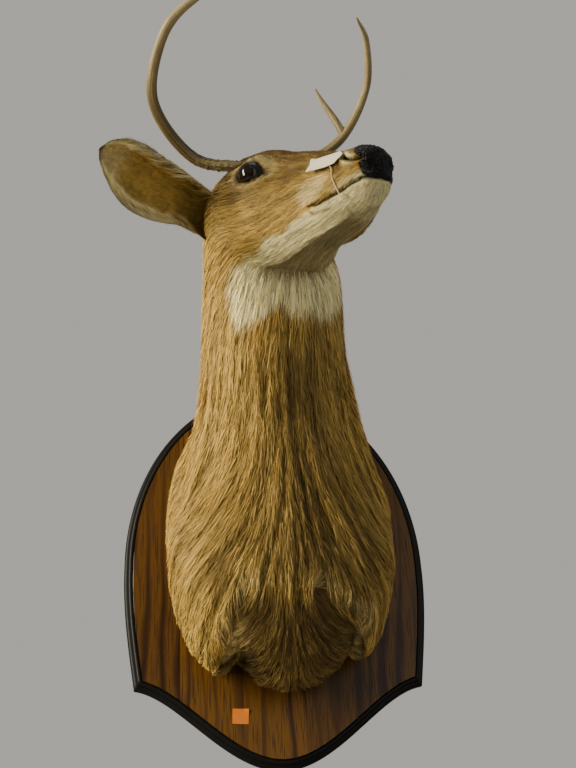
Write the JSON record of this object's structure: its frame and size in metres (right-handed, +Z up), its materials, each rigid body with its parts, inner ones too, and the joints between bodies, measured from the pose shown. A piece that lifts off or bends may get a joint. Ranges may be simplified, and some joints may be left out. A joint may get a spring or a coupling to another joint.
{
  "type": "deer shoulder mount on a plaque",
  "caption": "Life-size whitetail deer head, neck and shoulders with slim antlers, turned to its left, mounted on a shield-shaped oak plaque with a black edge.",
  "frame": {"origin": "middle of the plaque's flat back face, on the wall", "axes": "+Y into the wall, so the animal looks out along -Y; +Z up; +X towards the animal's own left side"},
  "size_m": [0.4716, 0.5855, 0.8834],
  "materials": {
    "oak": "dark stained oak with open grain under a satin varnish",
    "black_edge": "moulded edge painted semi-gloss black",
    "steel": "plain zinced steel strip",
    "sticker": "bare orange paper sticker",
    "coat": "short lying hair, golden tan with a browner forehead and cream throat, chin and muzzle sides",
    "nose": "black pebbled bare skin with a damp sheen",
    "eye": "very dark brown glass eye",
    "antler": "furrowed brown bone, paler and smoother towards the tips",
    "card": "creased off-white card",
    "string": "thin cream cotton string"
  },
  "bodies": {
    "root": {"plaque_board": "oak", "plaque_edge": "black_edge", "hanger_strip": "steel", "price_sticker": "sticker", "trunk": "coat", "foreleg_right": "coat", "foreleg_left": "coat", "neck": "coat", "head": "coat", "nose_pad": "nose", "ear_right": "coat", "ear_left": "coat", "eye_right": "eye", "eye_left": "eye", "antler_right": "antler", "antler_left": "antler", "antler_left_tine": "antler", "muzzle_tag": "card", "tag_string": "string"}
  },
  "joints": []
}
